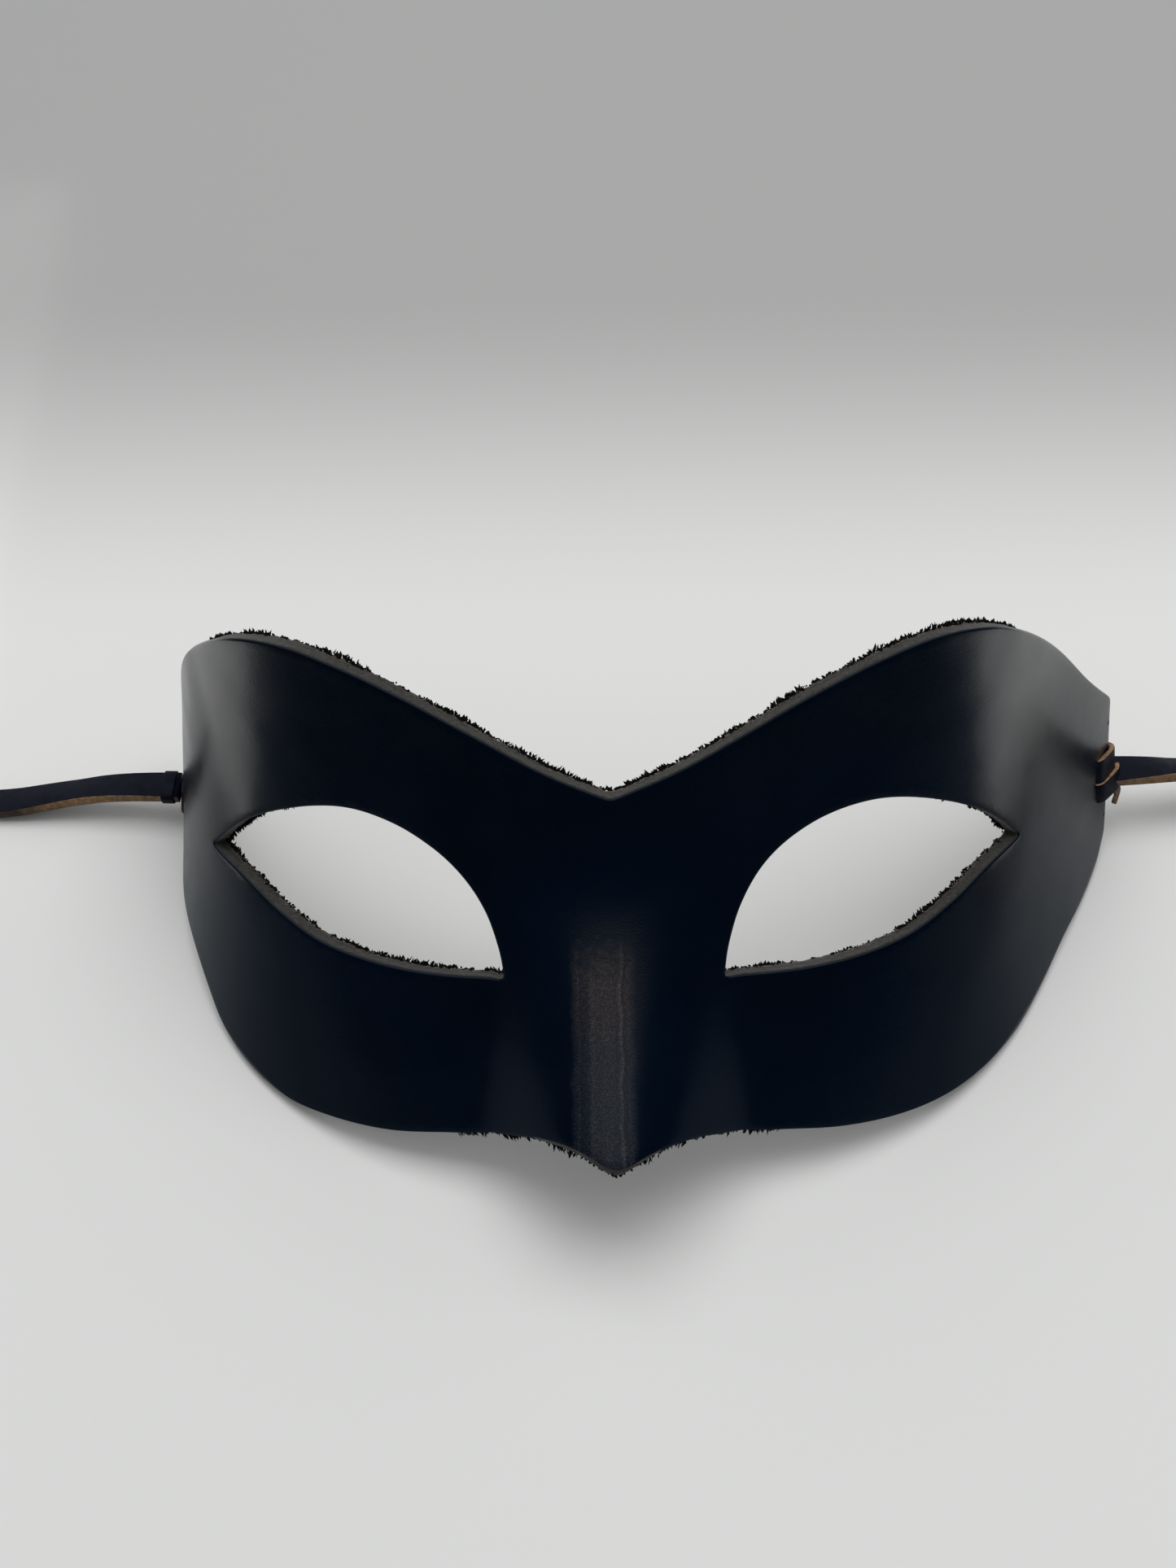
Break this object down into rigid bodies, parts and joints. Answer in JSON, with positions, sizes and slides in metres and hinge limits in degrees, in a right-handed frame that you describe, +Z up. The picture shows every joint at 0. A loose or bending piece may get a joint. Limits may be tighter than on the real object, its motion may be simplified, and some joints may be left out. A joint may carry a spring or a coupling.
{
  "type": "leather eye mask",
  "caption": "Moulded black leather domino mask for the eyes, with a pointed nose and a flat leather tie lace knotted at each temple.",
  "frame": {"origin": "on the surface that the mask rests on, under the middle of the mask and its two knots", "axes": "+X towards the wearer's left temple, +Y from the nose tip towards the wearer, +Z up from the surface"},
  "size_m": [0.343, 0.091, 0.0729],
  "materials": {
    "mask_leather": "satin, fine pebbled grain, dyed black, raw brown edges",
    "lace_leather": "satin black face, raw tan cut edges"
  },
  "bodies": {
    "root": {"mask_body": "mask_leather", "knot_left": "lace_leather", "knot_right": "lace_leather", "lace_left": "lace_leather", "lace_right": "lace_leather", "coil_left": "lace_leather", "coil_right": "lace_leather"}
  },
  "joints": []
}
